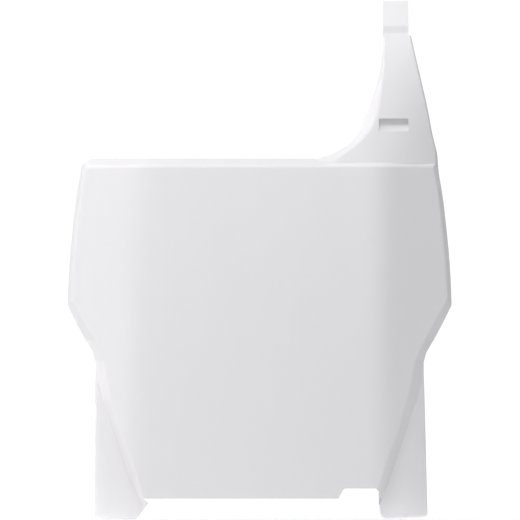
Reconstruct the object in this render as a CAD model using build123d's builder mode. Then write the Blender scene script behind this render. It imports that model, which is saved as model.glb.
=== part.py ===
from build123d import *
import math
import os

# Racing number board: one injection-moulded polypropylene shell.
# Heights below are given above the foot line; widths from the middle of the
# number panel; depths behind the panel's front skin.  The origin is the
# middle of the flat number panel, on its front skin: +X right as seen from
# the front, +Y to the back, +Z up.

# ---------------------------------------------------------------- dimensions
wall = 2.2                 # moulded wall
panel_mid = 115.0          # height of the origin above the foot line
panel_half = 67.0          # half width of the flat number panel
bend_radius = 33.0         # outer radius of the two upright bends
sweep = math.radians(28)   # the wings sweep back by this angle

crease_z = 217.0           # top of the panel, where the ledge starts
top_z = 221.4              # back edge of the ledge
ledge_depth = 9.5          # depth of the ledge, and of the rim of the wings
corner_radius = 7.5        # rounded top left corner
edge_radius = 2.4          # rounding of the moulded front edges
arm_edge_radius = 1.2      # rounding of the arm's right edge

knee_z = 23.8              # where the lower bevel turns in to the foot
shin_z = 55.0              # where the lower bevel bulges a little
thigh_z = 72.9             # where the lower bevel is at its widest
waist_z = 97.5             # narrowest height of the shield's outline
flank_z = 109.8            # where the rim's outer side starts to close up
hip_radius = 6.0           # rounding of the hips
foot_edge_z = 13.0         # lower edge of the panel
notch_z = 19.2             # raised lower edge in the right-hand notch
notch_left, notch_right = 48.4, 73.1

leg_setback = 9.4          # front of the legs behind the panel, at the foot line
leg_setback_top = 16.6     # and at the waist
leg_flat = 86.0            # the legs are flat out to here, then turn back
leg_radius = 30.0
leg_turn = math.radians(40)
leg_flange = 4.5           # depth of the flange on the outer side of a leg
leg_top_z = 97.5           # the legs start behind the waist
leg_edge_right, leg_edge_left = 1.9, 2.8   # rounding of the outer edges of the legs

arm_z = [216.0, 221.4, 226.0, 231.0, 237.0, 244.0,
         252.0, 261.0, 270.0, 280.0, 290.0, 297.0]
# inner line of the lip on the arm's left side, its outer line and its depth
lip_in = [42.0, 48.5, 54.3, 59.8, 64.7, 68.9, 71.8, 73.0, 74.1, 75.4, 76.0, 76.2]
lip_out = [22.0, 35.0, 47.0, 54.8, 60.2, 63.6, 66.6, 69.8, 72.6, 74.7, 75.8, 75.8]
lip_depth = [4.0, 3.4, 4.3, 5.8, 7.0, 7.0, 6.5, 5.5, 4.5, 3.5, 2.7, 2.4]
# depth of the rim on the arm's right side
rim_depth = [7.2, 6.9, 6.63, 6.33, 5.97, 5.55, 5.08, 4.54, 4.0, 3.41, 2.82, 2.4]
arm_round = [1.5, 1.8, 2.8, 3.6, 4.2, 4.2, 3.6, 2.8, 2.2, 1.6, 1.0, 0.8]
arm_setback = 4.3          # arm behind the panel, where it leaves the ledge
arm_bow_x, arm_bow_radius = 60.0, 75.0
arm_lean_low, arm_lean_high = math.tan(math.radians(9)), math.tan(math.radians(21))
arm_skin = 2.35            # wall of the arm, measured straight back
arm_reach = 122.0

tab_left, tab_right = 75.8, 91.5
step_low_z, step_high_z, tab_top_z = 298.6, 302.9, 318.4

slot_width, slot_height = 18.2, 8.0
slot_x, slot_z = 82.15, 242.0
tongue_rise = 8.8          # height of the tongue behind the slot, from the slot's lower edge
tongue_low, tongue_high = 0.5, 6.2   # depth of its front behind the arm's skin, foot and top
tongue_wall = 2.0
tongue_side = 1.5          # how far it runs past the slot on both sides

reach = 140.0              # working size of the sections that are cut later
deep = 120.0

# Right-hand outline of the wing and the arm, from the hip upwards
side_curve = [
    (116.7, 158.9), (115.0, 177.3), (112.8, 195.7), (110.5, 211.1),
    (108.7, 221.4), (107.0, 231.0), (104.7, 244.0), (101.1, 261.0),
    (96.8, 280.0), (92.9, 297.5),
]


def level(z):
    """Horizontal plane at a height above the foot line."""
    return Plane.XY.offset(z - panel_mid)


def upright(y):
    """Plane facing the front, at a depth behind the panel."""
    return Plane((0, y, -panel_mid), x_dir=(1, 0, 0), z_dir=(0, -1, 0))


def left(p):
    """The mirror image of a point on the left-hand side."""
    return (-p[0], p[1])


def skin_depth(x):
    """Depth of the front skin of the panel and wings at a width."""
    turn = bend_radius * math.sin(sweep)
    if x <= panel_half:
        return 0.0
    if x <= panel_half + turn:
        return bend_radius - math.sqrt(bend_radius ** 2 - (x - panel_half) ** 2)
    return (bend_radius * (1 - math.cos(sweep))
            + (x - panel_half - turn) * math.tan(sweep))


def bent_section(flat, radius, turn, front, d):
    """Plan of a flat with two bends and two swept ends, d behind its skin."""
    r = radius - d
    a = (flat, front + d)
    m = (flat + r * math.sin(turn / 2), front + radius - r * math.cos(turn / 2))
    b = (flat + r * math.sin(turn), front + radius - r * math.cos(turn))
    e = (reach, b[1] + (reach - b[0]) * math.tan(turn))
    with BuildLine() as section:
        Line(left(a), a)
        ThreePointArc(a, m, b)
        Line(b, e)
        Line(e, (reach, deep))
        Line((reach, deep), (-reach, deep))
        Line((-reach, deep), left(e))
        Line(left(e), left(b))
        ThreePointArc(left(b), left(m), left(a))
    return section.edges()


def skin_section(d):
    return bent_section(panel_half, bend_radius, sweep, 0.0, d)


def leg_section(d, z):
    lean = (leg_setback_top - leg_setback) / waist_z
    return bent_section(leg_flat, leg_radius, leg_turn, leg_setback + lean * z, d)


def arm_depth(x, z):
    """Depth of the arm's front skin: bowed at its foot, flat at its top."""
    h = z - top_z
    lean = arm_lean_low * h + (arm_lean_high - arm_lean_low) * h * abs(h) / 152.0
    bow = max(0.0, 1.0 - (max(h, 0.0) / 70.0) ** 1.6)
    mid = arm_bow_radius - math.sqrt(arm_bow_radius ** 2 - (83.6 - arm_bow_x) ** 2)
    r = arm_bow_radius if x > arm_bow_x else 3 * arm_bow_radius
    arc = r - math.sqrt(r ** 2 - (x - arm_bow_x) ** 2)
    return arm_setback + mid + lean + bow * (arc - mid)


def corner(p, a, b, r):
    """Tangent points and middle of a rounding at p, between points a and b."""
    ua = (Vector(*a) - Vector(*p)).normalized()
    ub = (Vector(*b) - Vector(*p)).normalized()
    half = math.radians(ua.get_angle(ub)) / 2
    reach_in = r / math.tan(half)
    middle = (ua + ub).normalized()
    centre = Vector(*p) + middle * (r / math.sin(half))
    return Vector(*p) + ua * reach_in, centre - middle * r, Vector(*p) + ub * reach_in


def rounded(points):
    """Closed outline through points with a rounding each: x, z, radius."""
    ends = []
    for k, (x, z, r) in enumerate(points):
        if r > 0:
            after = points[(k + 1) % len(points)]
            ends.append(corner((x, z), points[k - 1][:2], after[:2], r))
        else:
            ends.append((Vector(x, z), None, Vector(x, z)))
    with BuildLine() as outline:
        for k, (start, middle, end) in enumerate(ends):
            if middle is not None:
                ThreePointArc(start, middle, end)
            Line(end, ends[(k + 1) % len(ends)][0])
    return outline.edges()


def side_back(x, z):
    """Depth of the back edge of the rim at a point of the side curve."""
    if z <= top_z:
        return skin_depth(x) + ledge_depth / math.cos(sweep)
    return arm_depth(x - 1.5, z) + 6.9 + (2.4 - 6.9) * (z - top_z) / (297.0 - top_z)


def side_taper(z):
    """Draft of the rim's outer side, less on the arm."""
    return 0.2 if z <= top_z else 0.12


def shield_outline(y, inset):
    """Outline of the shield at a depth.  The walls run straight between two
    such outlines, so the rim and the lower bevels lean out as they go back."""
    f = y / 40.0
    foot = (66.75 + f * 1.25 - inset, -5.0)
    knee = (74.5 + f * 16.5 - 1.08 * inset, knee_z)
    shin = (82.5 + f * 21.3 - 1.1 * inset, shin_z)
    thigh = (84.8 + f * 28.0 - 1.12 * inset, thigh_z)
    waist = (88.9 + f * 24.5 - 1.12 * inset, waist_z + 0.1 * inset)
    flank = (95.7 + f * 16.2 - 1.1 * inset, flank_z + 0.2 * inset)
    hip = (111.3 + f * 8.0 - 1.05 * inset, 141.3 - f * 11.7 + 0.5 * inset)
    side = [(x + side_taper(z) * (y - side_back(x, z)) - 1.03 * inset, z) for x, z in side_curve]
    up = [foot, knee, shin, thigh, waist, flank, hip]
    with BuildLine() as outline:
        Polyline(up)
        Spline([hip] + side)
        Line(side[-1], left(side[-1]))
        Spline([left(p) for p in reversed([hip] + side)])
        Polyline([left(p) for p in reversed(up)])
        Line(left(foot), foot)
    return outline.edges()


def nearest(edges, points):
    """The edge that runs through each point, heights above the foot line."""
    return [edges.sort_by_distance(Vector(x, y, z - panel_mid))[0] for x, y, z in points]


def front_edges(edges):
    """Edges around the front skin of the panel and wings, with the crease."""
    found = []
    for edge in edges:
        mid, box = edge @ 0.5, edge.bounding_box()
        if abs(mid.Y - skin_depth(abs(mid.X))) > 0.5:
            continue
        top = box.max.Z + panel_mid
        on_crease = box.size.Z < 0.001 and abs(top - crease_z) < 0.001
        on_rim = edge.geom_type == GeomType.BSPLINE and box.size.Z > 0.5
        if on_crease or (on_rim and top < crease_z + 0.05):
            found.append(edge)
    return found


# ----------------------------------------------------------------------- arm
def arm_section(i):
    """Plan of the arm's outside at one height: lip and bowed front."""
    z = arm_z[i]
    xi = lip_in[i]

    def front(x):
        return (x, arm_depth(x, z))

    lip_end = (lip_out[i], front(xi)[1] + lip_depth[i])
    l1, lm, l2 = corner(front(xi), lip_end, front(xi + 4), arm_round[i])
    n = 7
    xs = [l2.X + (arm_reach - l2.X) * k / n for k in range(1, n + 1)]
    with BuildLine() as section:
        Line(lip_end, l1)
        ThreePointArc(l1, lm, l2)
        Spline([l2] + [front(x) for x in xs])
        Line(front(arm_reach), (arm_reach, 60))
        Line((arm_reach, 60), (lip_out[i], 60))
        Line((lip_out[i], 60), lip_end)
    return section.edges()


def arm_hollow_section(i):
    """Plan of the hollow behind the arm at one height."""
    z = arm_z[i]
    xi = lip_in[i]
    j = min(max(i, 1), len(arm_z) - 2)
    steep = (lip_in[j + 1] - lip_in[j - 1]) / (arm_z[j + 1] - arm_z[j - 1])
    p = Vector(xi, arm_depth(xi, z))
    along = (Vector(lip_out[i], p.Y + lip_depth[i]) - p).normalized()
    inward = Vector(along.Y, -along.X)
    q = p + inward * wall * math.sqrt(1 + (inward.X * steep) ** 2)
    start = q + along * ((p.Y + arm_skin - q.Y) / along.Y)
    end = q + along * ((p.Y + lip_depth[i] + 4.0 - q.Y) / along.Y)
    n = 7
    xs = [start.X + (arm_reach - start.X) * k / n for k in range(0, n + 1)]
    shift = start.Y - arm_depth(start.X, z)
    pts = [(x, arm_depth(x, z) + shift + (arm_skin - shift) * min(1.0, k / 2))
           for k, x in enumerate(xs)]
    with BuildLine() as section:
        Line(end, start)
        Spline([start] + pts[1:])
        Line(pts[-1], (arm_reach, 80))
        Line((arm_reach, 80), (end.X, 80))
        Line((end.X, 80), end)
    return section.edges()


def arm_back_section(i):
    """Plan of the space behind the arm's lip and rim at one height."""
    z = arm_z[i]
    xl, xr = lip_in[i], arm_reach
    pts = []
    for k in range(7):
        x = xl + (xr - xl) * k / 6
        d = lip_depth[i] + (rim_depth[i] - lip_depth[i]) * min(1.0, k / 5) - 0.3
        pts.append((x, arm_depth(x, z) + d))
    far = lip_out[i] - 2.0
    first = (far, pts[0][1])
    with BuildLine() as section:
        Line(first, pts[0])
        Spline(pts)
        Line(pts[-1], (xr, 90))
        Line((xr, 90), (far, 90))
        Line((far, 90), first)
    return section.edges()


with BuildPart() as arm_outer:
    for i, z in enumerate(arm_z):
        with BuildSketch(level(z)):
            make_face(arm_section(i))
    loft()

with BuildPart() as arm_inner:
    for i, z in enumerate(arm_z[:-2]):
        with BuildSketch(level(z)):
            make_face(arm_hollow_section(i))
    loft()

with BuildPart() as arm_back:
    for i, z in enumerate(arm_z):
        if z >= top_z:
            with BuildSketch(level(z if z > top_z else z - 0.5)):
                make_face(arm_back_section(i))
    loft()

# ------------------------------------------------------------- tab with step
tab_front = arm_depth(83.6, arm_z[-1])
rise = step_low_z - arm_z[-1]
step_front = tab_front + rise * arm_lean_high
tab_points = [
    (tab_front, arm_z[-1]),
    (step_front, step_low_z),
    (step_front + 0.1, step_high_z),
    (step_front + 0.1 + (tab_top_z - step_high_z) * arm_lean_high, tab_top_z),
]


def tab_outline(d, far):
    """Side view of the space behind the tab's front, d behind its skin."""
    pts = [(y + d, z - 0.12 * d) for y, z in tab_points]
    pts[0] = (tab_points[0][0] + d, tab_points[0][1])
    pts[3] = (tab_points[3][0] + d, tab_points[3][1])
    with BuildLine() as outline:
        FilletPolyline(pts, radius=2.0)
        Polyline([pts[3], (far, tab_top_z), (far, arm_z[-1]), pts[0]])
    return outline.edges()


with BuildPart() as tab_outer:
    with BuildSketch(Plane((tab_left, 0, -panel_mid), x_dir=(0, 1, 0), z_dir=(1, 0, 0))):
        make_face(tab_outline(0, 60))
    extrude(amount=tab_right - tab_left)

with BuildPart() as tab_back:
    with BuildSketch(Plane((tab_left - 5, 0, -panel_mid), x_dir=(0, 1, 0), z_dir=(1, 0, 0))):
        make_face(tab_outline(arm_skin, 70))
    extrude(amount=tab_right - tab_left + 10)

# --------------------------------------------------------- shield with its arm
with BuildPart() as shield_outer:
    with BuildSketch(level(-3)):
        make_face(skin_section(0))
    with BuildSketch(level(crease_z)):
        make_face(skin_section(0))
    with BuildSketch(level(top_z)):
        make_face(skin_section(ledge_depth))
    loft(ruled=True)
    add(arm_outer.part)
    with BuildSketch(upright(-10)):
        make_face(shield_outline(-10, 0))
    with BuildSketch(upright(45)):
        make_face(shield_outline(45, 0))
    loft(ruled=True, mode=Mode.INTERSECT)
    fillet(nearest(shield_outer.edges(), [(-107.8, 22.7, 219.2), (-110.2, 36.7, 221.4)]), corner_radius)
    fillet(nearest(shield_outer.edges(), [(117.9, 33.2, 131.6), (-117.9, 33.2, 131.6)]), hip_radius)
    fillet(front_edges(shield_outer.edges()), edge_radius)
    fillet(nearest(shield_outer.edges(), [(100.8, 21.2, 258.1)]), arm_edge_radius)
    add(tab_outer.part)

# hollow behind the panel, the wings and the ledge
ledge_slope = (top_z - crease_z) / ledge_depth
ledge_drop = wall * math.sqrt(1 + ledge_slope ** 2)
with BuildPart() as shield_inner:
    with BuildSketch(level(-8)):
        make_face(skin_section(wall))
    with BuildSketch(level(crease_z - ledge_drop + wall * ledge_slope)):
        make_face(skin_section(wall))
    with BuildSketch(level(top_z - ledge_drop)):
        make_face(skin_section(ledge_depth))
    loft(ruled=True)
    add(arm_inner.part)
    with BuildSketch(upright(-10)):
        make_face(shield_outline(-10, wall))
    with BuildSketch(upright(60)):
        make_face(shield_outline(60, wall))
    loft(ruled=True, mode=Mode.INTERSECT)
    fillet(nearest(shield_inner.edges(), [(-105.9, 22.9, 217.3), (-109.8, 43.7, 219.0)]), corner_radius - wall)
    fillet(nearest(shield_inner.edges(), [(117.3, 41.4, 130.3), (-117.3, 41.4, 130.3)]), hip_radius - wall)

# ---------------------------------------------------------------------- legs
right_leg = [(notch_right + 0.3, 0.2, 5.0), (103.1, 1.8, 2.2), (100.8, 91.0, 0), (98.6, 97.5, 0),
             (95.0, 104.0, 0), (notch_right + 0.3, 104.0, 0)]
left_leg = [(-62.0, -0.2, 0), (-101.6, 0.4, 3.0), (-100.5, 91.0, 0), (-98.6, 97.5, 0),
            (-95.0, 104.0, 0), (-62.0, 104.0, 0)]

with BuildPart() as legs_outer:
    with BuildSketch(level(-3)):
        make_face(leg_section(0, -3))
    with BuildSketch(level(107)):
        make_face(leg_section(0, 107))
    loft(ruled=True)
    with BuildSketch(upright(5)):
        make_face(rounded(right_leg))
        make_face(rounded(left_leg))
    extrude(amount=-55, mode=Mode.INTERSECT)
    fillet(nearest(legs_outer.edges(), [(102.0, 17.2, 46.4)]), leg_edge_right)
    fillet(nearest(legs_outer.edges(), [(-101.3, 16.9, 46.4)]), leg_edge_left)

with BuildPart() as legs_inner:
    with BuildSketch(level(-10)):
        make_face(leg_section(wall, -10))
    with BuildSketch(level(94)):
        make_face(leg_section(wall, 94))
    loft(ruled=True)
    with BuildSketch(upright(5)):
        with BuildLine():
            Polyline([(40.0, -8.0), (101.1, -8.0), (98.6, 91.0), (96.0, 97.0), (40.0, 97.0)], close=True)
        make_face()
        with BuildLine():
            Polyline([(-40.0, -8.0), (-99.4, -8.0), (-98.6, 91.0), (-96.0, 97.0), (-40.0, 97.0)], close=True)
        make_face()
    extrude(amount=-80, mode=Mode.INTERSECT)

# outline that the waist is cut back to
waist_trim = [(101.4, 70.0), (100.7, 90.0), (100.7, 96.5), (102.4, 102.5), (106.2, 109.0),
              (110.8, 113.5), (122.0, 113.5), (122.0, 70.0)]

# inward end of the left leg, seen below the panel's corner
with BuildPart() as left_toe:
    with BuildSketch(upright(leg_setback + 0.3)):
        with BuildLine():
            Polyline([(-80.0, 2.0), (-62.0, 2.0), (-62.0, 16.0),
                      (-70.0, 24.0), (-80.0, 24.0)], close=True)
        make_face()
    extrude(amount=-wall)

# tongue that leaves the arm at the slot's lower edge and runs up behind it
def tongue_section(x):
    """Side view of the tongue at one width."""
    low = slot_z - slot_height / 2
    high = low + tongue_rise

    def behind(z, d):
        return (arm_depth(x, z) + d, z)

    with BuildLine() as section:
        Polyline([behind(low - 1.6, 0.9), behind(low, tongue_low), behind(high, tongue_high),
                  behind(high, tongue_high + tongue_wall), behind(low - 1.6, 2.9)], close=True)
    return section.edges()


with BuildPart() as strap_tongue:
    for side in (-1, 1):
        x = slot_x + side * (slot_width / 2 + tongue_side)
        with BuildSketch(Plane((x, 0, -panel_mid), x_dir=(0, 1, 0), z_dir=(1, 0, 0))):
            make_face(tongue_section(x))
    loft(ruled=True)

os.makedirs("parts", exist_ok=True)
with BuildPart() as number_board:
    add(shield_outer.part)
    add(legs_outer.part)
    add(shield_inner.part, mode=Mode.SUBTRACT)
    add(legs_inner.part, mode=Mode.SUBTRACT)
    # back edges of the legs, of the wings and of the arm
    with BuildSketch(level(-10)):
        make_face(leg_section(leg_flange, -10))
    with BuildSketch(level(leg_top_z)):
        make_face(leg_section(leg_flange, leg_top_z))
    loft(ruled=True, mode=Mode.SUBTRACT)
    with BuildSketch(level(leg_top_z)):
        make_face(skin_section(ledge_depth))
    extrude(amount=top_z - leg_top_z, mode=Mode.SUBTRACT)
    add(arm_back.part, mode=Mode.SUBTRACT)
    add(tab_back.part, mode=Mode.SUBTRACT)
    add(left_toe.part)
    # lower edge of the panel, with the notch on the right
    with BuildSketch(upright(-5)):
        with BuildLine():
            Polyline([
                (-66.0, foot_edge_z), (notch_left, foot_edge_z),
                (notch_left + 2.9, notch_z - 0.7), (notch_left + 4.2, notch_z),
                (notch_right - 1.9, notch_z), (notch_right - 0.2, notch_z - 1.7),
                (notch_right + 0.2, -15.0), (-87.1, -15.0), (-75.6, 0.0)], close=True)
        make_face()
    extrude(amount=-60, mode=Mode.SUBTRACT)
    # the panel's lower left corner stops short of the left foot
    with BuildSketch(upright(-5)):
        with BuildLine():
            Polyline([(-71.0, foot_edge_z), (-60.0, foot_edge_z), (-60.0, 0.0), (-67.8, 9.5)], close=True)
        make_face()
    extrude(amount=-18, mode=Mode.SUBTRACT)
    # straight sides at the waist, where the rim runs into the legs
    with BuildSketch(upright(-5)):
        for side in (1, -1):
            with BuildLine():
                Polyline([(side * x, z) for x, z in waist_trim], close=True)
            make_face()
    extrude(amount=-60, mode=Mode.SUBTRACT)
    # slot that takes the strap's end
    with BuildSketch(upright(0)):
        with Locations((slot_x, slot_z)):
            Rectangle(slot_width, slot_height)
    extrude(amount=-40, mode=Mode.SUBTRACT)
    add(strap_tongue.part)
    # nothing below the feet
    with BuildSketch(level(-30)):
        Rectangle(2 * reach, 2 * reach)
    extrude(amount=30, mode=Mode.SUBTRACT)

number_board.part.label = "number_board"
export_step(number_board.part, "parts/number_board.step")
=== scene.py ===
import math

import bpy
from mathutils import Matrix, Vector


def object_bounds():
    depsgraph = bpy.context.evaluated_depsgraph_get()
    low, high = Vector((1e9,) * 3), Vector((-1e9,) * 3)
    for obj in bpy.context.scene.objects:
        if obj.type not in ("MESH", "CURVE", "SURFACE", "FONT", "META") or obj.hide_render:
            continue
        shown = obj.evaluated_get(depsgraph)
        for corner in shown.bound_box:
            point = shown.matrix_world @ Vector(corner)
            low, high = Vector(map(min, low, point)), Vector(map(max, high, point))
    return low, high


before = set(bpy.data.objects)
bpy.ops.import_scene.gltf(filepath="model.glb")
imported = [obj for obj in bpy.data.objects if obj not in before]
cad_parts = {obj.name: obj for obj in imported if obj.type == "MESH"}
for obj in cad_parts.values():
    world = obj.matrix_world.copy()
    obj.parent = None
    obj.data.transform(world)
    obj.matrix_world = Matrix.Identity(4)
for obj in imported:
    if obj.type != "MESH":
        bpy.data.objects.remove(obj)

start_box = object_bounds()
scene = bpy.context.scene
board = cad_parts["number_board"]


# ------------------------------------------------------------------ materials
def new_material(name):
    mat = bpy.data.materials.new(name)
    mat.use_nodes = True
    tree = mat.node_tree
    tree.nodes.clear()
    out = tree.nodes.new("ShaderNodeOutputMaterial")
    return mat, tree, out


def add_node(tree, kind, **sockets):
    node = tree.nodes.new(kind)
    for key, value in sockets.items():
        node.inputs[key.replace("_", " ")].default_value = value
    return node


def ramp(tree, stops):
    node = tree.nodes.new("ShaderNodeValToRGB")
    while len(node.color_ramp.elements) < len(stops):
        node.color_ramp.elements.new(0.5)
    for element, (pos, col) in zip(node.color_ramp.elements, stops):
        element.position = pos
        element.color = (*col, 1.0)
    return node


def map_range(tree, low, high, to_low, to_high, smooth=False):
    node = tree.nodes.new("ShaderNodeMapRange")
    if smooth:
        node.interpolation_type = "SMOOTHSTEP"
    node.inputs["From Min"].default_value = low
    node.inputs["From Max"].default_value = high
    node.inputs["To Min"].default_value = to_low
    node.inputs["To Max"].default_value = to_high
    return node


def board_plastic():
    """White satin polypropylene: faint flow shading, a moulded grain, gentle sink."""
    mat, tree, out = new_material("board_plastic")
    link = tree.links.new
    coord = tree.nodes.new("ShaderNodeTexCoord")
    shader = tree.nodes.new("ShaderNodeBsdfPrincipled")
    shader.inputs["IOR"].default_value = 1.49
    shader.inputs["Specular IOR Level"].default_value = 0.42

    # melt flow: long soft streaks that run up the board
    flow_map = tree.nodes.new("ShaderNodeMapping")
    flow_map.inputs["Scale"].default_value = (14.0, 14.0, 4.0)
    link(coord.outputs["Object"], flow_map.inputs["Vector"])
    flow = add_node(tree, "ShaderNodeTexNoise", Scale=1.0, Detail=4.0, Roughness=0.55, Distortion=0.6)
    link(flow_map.outputs["Vector"], flow.inputs["Vector"])
    tint = ramp(tree, [(0.30, (0.827, 0.819, 0.842)), (0.70, (0.843, 0.835, 0.857))])
    link(flow.outputs["Fac"], tint.inputs["Fac"])
    link(tint.outputs["Color"], shader.inputs["Base Color"])

    # satin: roughness wanders a little with the polish of the mould
    polish = add_node(tree, "ShaderNodeTexNoise", Scale=38.0, Detail=5.0, Roughness=0.6)
    link(coord.outputs["Object"], polish.inputs["Vector"])
    rough = map_range(tree, 0.3, 0.7, 0.37, 0.46)
    link(polish.outputs["Fac"], rough.inputs["Value"])
    link(rough.outputs["Result"], shader.inputs["Roughness"])

    # fine grain over a very shallow long waviness of the skin
    grain = add_node(tree, "ShaderNodeTexNoise", Scale=2600.0, Detail=2.0, Roughness=0.5)
    link(coord.outputs["Object"], grain.inputs["Vector"])
    wave = add_node(tree, "ShaderNodeTexNoise", Scale=22.0, Detail=1.0, Roughness=0.4)
    link(coord.outputs["Object"], wave.inputs["Vector"])
    bump_wave = tree.nodes.new("ShaderNodeBump")
    bump_wave.inputs["Strength"].default_value = 0.35
    bump_wave.inputs["Distance"].default_value = 0.00025
    link(wave.outputs["Fac"], bump_wave.inputs["Height"])
    bump = tree.nodes.new("ShaderNodeBump")
    bump.inputs["Strength"].default_value = 0.12
    bump.inputs["Distance"].default_value = 0.00004
    link(grain.outputs["Fac"], bump.inputs["Height"])
    link(bump_wave.outputs["Normal"], bump.inputs["Normal"])
    link(bump.outputs["Normal"], shader.inputs["Normal"])

    link(shader.outputs["BSDF"], out.inputs["Surface"])
    return mat


board.data.materials.clear()
board.data.materials.append(board_plastic())
for poly in board.data.polygons:
    poly.use_smooth = True
board.data.set_sharp_from_angle(angle=math.radians(28))

# ---------------------------------------------------------------- stage: floor
foot_z = start_box[0].z


def paper():
    """Pale studio paper with a painted glow: it emits light in a strip from below the board to behind
    it, so that it stays clean.
    """
    mat, tree, out = new_material("studio_paper_painted_glow")
    link = tree.links.new
    coord = tree.nodes.new("ShaderNodeTexCoord")
    fibre = add_node(tree, "ShaderNodeTexNoise", Scale=160.0, Detail=4.0, Roughness=0.6)
    link(coord.outputs["Object"], fibre.inputs["Vector"])
    tone = ramp(tree, [(0.35, (0.760, 0.760, 0.763)), (0.65, (0.775, 0.775, 0.775))])
    link(fibre.outputs["Fac"], tone.inputs["Fac"])
    shader = tree.nodes.new("ShaderNodeBsdfPrincipled")
    shader.inputs["Roughness"].default_value = 0.9
    shader.inputs["Specular IOR Level"].default_value = 0.1
    link(tone.outputs["Color"], shader.inputs["Base Color"])
    shader.inputs["Emission Color"].default_value = (1.0, 1.0, 1.0, 1.0)
    # painted glow: the emissive strip runs from below the board to the far end
    place = tree.nodes.new("ShaderNodeSeparateXYZ")
    link(coord.outputs["Object"], place.inputs["Vector"])
    near = map_range(tree, -0.028, 0.026, 0.0, 0.50, smooth=True)
    link(place.outputs["Y"], near.inputs["Value"])
    beyond = map_range(tree, 0.12, 1.20, 0.0, 0.24)
    link(place.outputs["Y"], beyond.inputs["Value"])
    along = tree.nodes.new("ShaderNodeMath")
    along.operation = "ADD"
    link(near.outputs["Result"], along.inputs[0])
    link(beyond.outputs["Result"], along.inputs[1])
    off_middle = tree.nodes.new("ShaderNodeMath")
    off_middle.operation = "ABSOLUTE"
    link(place.outputs["X"], off_middle.inputs[0])
    widen = tree.nodes.new("ShaderNodeMath")
    widen.operation = "MULTIPLY_ADD"
    widen.inputs[1].default_value = 0.1
    widen.inputs[2].default_value = 1.0
    link(place.outputs["Y"], widen.inputs[0])
    share = tree.nodes.new("ShaderNodeMath")
    share.operation = "DIVIDE"
    link(off_middle.outputs["Value"], share.inputs[0])
    link(widen.outputs["Value"], share.inputs[1])
    across = map_range(tree, 0.168, 0.300, 1.0, 0.0, smooth=True)
    link(share.outputs["Value"], across.inputs["Value"])
    painted_glow = tree.nodes.new("ShaderNodeMath")
    painted_glow.operation = "MULTIPLY"
    link(along.outputs["Value"], painted_glow.inputs[0])
    link(across.outputs["Result"], painted_glow.inputs[1])
    # painted glow: this strip mask drives the paper's emission strength
    link(painted_glow.outputs["Value"], shader.inputs["Emission Strength"])
    link(shader.outputs["BSDF"], out.inputs["Surface"])
    return mat


def floor_sheet(name, half, mat):
    mesh = bpy.data.meshes.new(name)
    mesh.from_pydata([(-half, -half, foot_z), (half, -half, foot_z),
                      (half, half, foot_z), (-half, half, foot_z)], [], [(0, 1, 2, 3)])
    obj = bpy.data.objects.new(name, mesh)
    scene.collection.objects.link(obj)
    mesh.materials.append(mat)
    return obj


floor_sheet("studio_floor", 4.0, paper())

# ---------------------------------------------------------------------- light
world = bpy.data.worlds.new("studio")
scene.world = world
world.use_nodes = True
sky = world.node_tree
background = sky.nodes["Background"]
background.inputs["Color"].default_value = (1.0, 1.0, 1.0, 1.0)
# the far end of the studio is brighter than the rest
heading = sky.nodes.new("ShaderNodeTexCoord")
parts = sky.nodes.new("ShaderNodeSeparateXYZ")
sky.links.new(heading.outputs["Generated"], parts.inputs["Vector"])
far_end = map_range(sky, 0.9978, 0.9996, 0.50, 1.06, smooth=True)
sky.links.new(parts.outputs["Y"], far_end.inputs["Value"])
sky.links.new(far_end.outputs["Result"], background.inputs["Strength"])


def area_light(name, place, target, size, power, colour=(1.0, 1.0, 1.0)):
    data = bpy.data.lights.new(name, "AREA")
    data.shape = "RECTANGLE"
    data.size, data.size_y = size
    data.energy = power
    data.color = colour
    obj = bpy.data.objects.new(name, data)
    scene.collection.objects.link(obj)
    obj.location = place
    obj.rotation_mode = "QUATERNION"
    obj.rotation_quaternion = (Vector(target) - Vector(place)).to_track_quat("-Z", "Y")
    return obj


middle = (0.0, 0.0, 0.05)
warm, cool = (1.0, 0.990, 0.970), (0.986, 0.992, 1.0)
area_light("key_soft_box", (-0.447, -0.335, 0.549), middle, (0.35, 0.35), 0.75, warm)
area_light("top_soft_box", (0.05, -0.15, 1.1), middle, (0.50, 0.50), 0.73)
area_light("arm_soft_box", (-0.02, -0.35, 0.62), (0.088, 0.02, 0.15), (0.25, 0.25), 0.96, warm)
area_light("arm_side_box", (-0.35, -0.15, 0.36), (0.075, 0.02, 0.15), (0.15, 0.15), 0.24, warm)
area_light("top_rear", (-0.45, 0.20, 0.75), middle, (0.40, 0.40), 0.63, warm)
area_light("front_fill", (0.0, -1.6, 0.35), middle, (1.0, 1.0), 2.48, cool)
area_light("left_low_panel", (-0.7, 0.05, -0.06), (-0.1, 0.02, 0.0), (0.20, 0.20), 0.09, warm)
area_light("left_rear_panel", (-0.8, 0.45, 0.05), (-0.1, 0.02, 0.0), (0.40, 0.40), 1.30, warm)
area_light("left_front_strip", (-0.65, -0.40, -0.02), (-0.1, 0.02, -0.03), (0.12, 0.12), 0.08, warm)
area_light("left_leg_strip", (-0.50, -0.25, -0.07), (-0.1, 0.02, -0.05), (0.06, 0.06), 0.20, warm)

# --------------------------------------------------------------------- camera
distance = 10.0
width = 0.3184
cam_data = bpy.data.cameras.new("photo_camera")
cam_data.sensor_width = 36.0
cam_data.lens = 36.0 * distance / width
cam_data.clip_start, cam_data.clip_end = 0.05, 80.0
cam = bpy.data.objects.new("photo_camera", cam_data)
scene.collection.objects.link(cam)
cam.location = (0.00025, -distance, 0.0442)
cam.rotation_euler = (math.radians(90), 0.0, 0.0)
scene.camera = cam

scene.view_settings.view_transform = "Standard"
scene.view_settings.look = "None"
scene.view_settings.exposure = 0.0
scene.view_settings.gamma = 1.0
